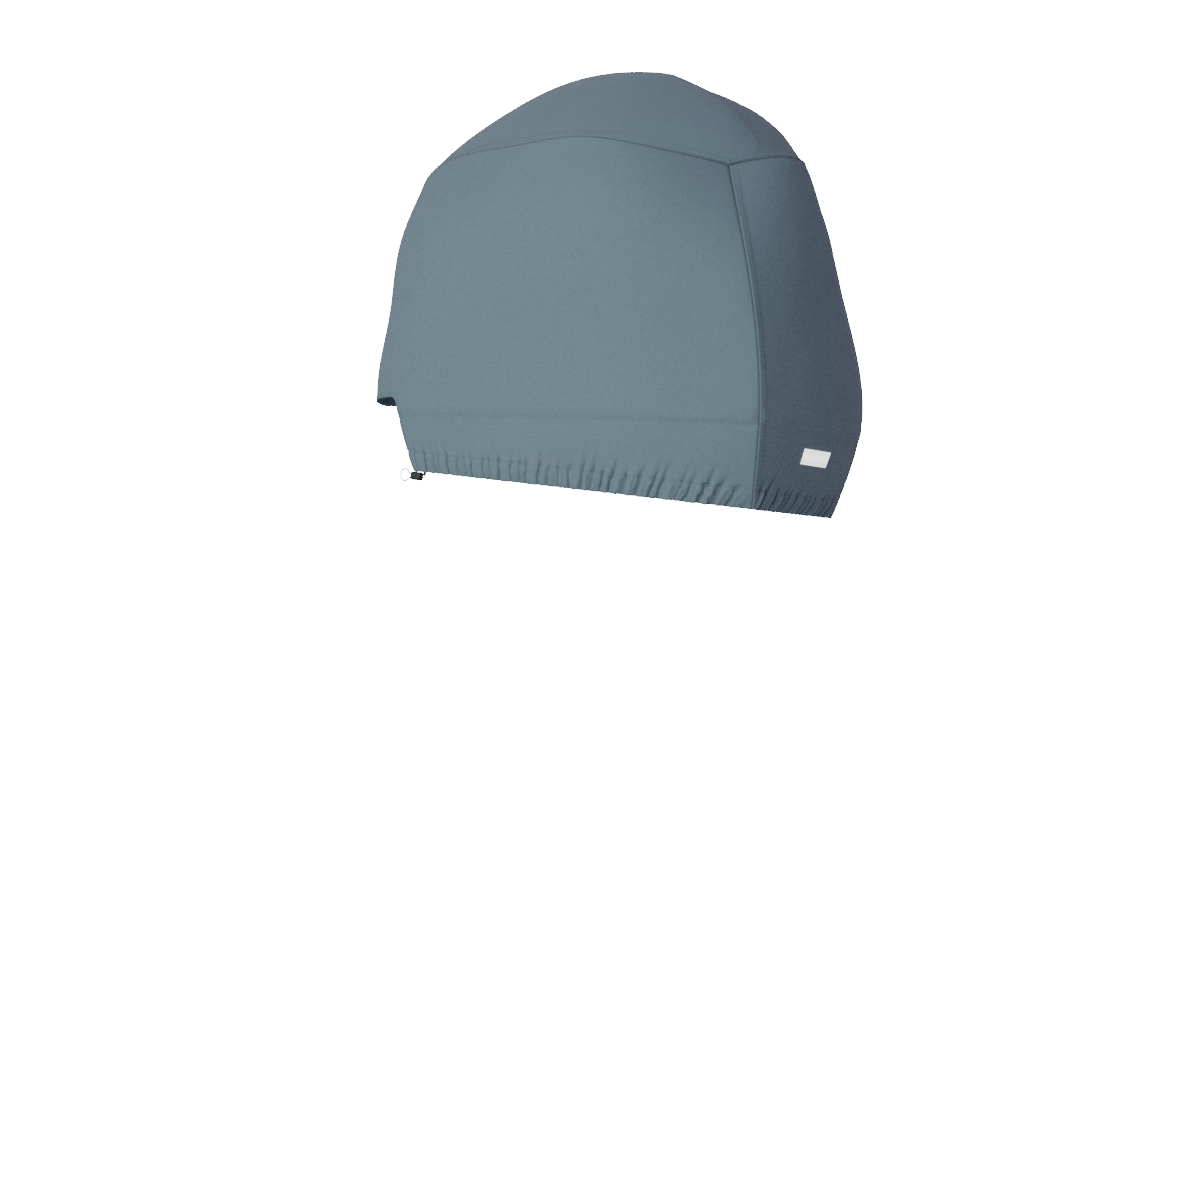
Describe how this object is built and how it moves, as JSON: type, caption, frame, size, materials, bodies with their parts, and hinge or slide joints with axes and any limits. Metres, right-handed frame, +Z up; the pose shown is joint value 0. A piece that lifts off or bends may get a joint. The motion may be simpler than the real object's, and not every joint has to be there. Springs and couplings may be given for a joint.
{
  "type": "fitted outboard motor cover",
  "caption": "Hollow fitted canvas cover for an outboard motor's cowl, with domed top, drawn-in hem with gathered drawcord casing, front cut-out and a sewn label.",
  "frame": {"origin": "the seat just inside the crown, where the top of the cowl carries the cover", "axes": "+Z up, -X towards the front of the motor (the boat), +X aft, -Y port, +Y starboard; the cover hangs with its hem trimmed 7.5 degrees down towards the rear"},
  "size_m": [0.7892, 0.5822, 0.7813],
  "materials": {
    "canvas": "smooth woven marine canvas, grey-blue, matt",
    "label": "white woven label with stitched border",
    "cord": "black braided cord",
    "lock": "black moulded plastic"
  },
  "bodies": {
    "root": {"port_side_panel": "canvas", "starboard_side_panel": "canvas", "top_panel": "canvas", "rear_panel": "canvas", "front_panel": "canvas", "label": "label", "drawcord": "cord", "cord_lock": "lock"}
  },
  "joints": []
}
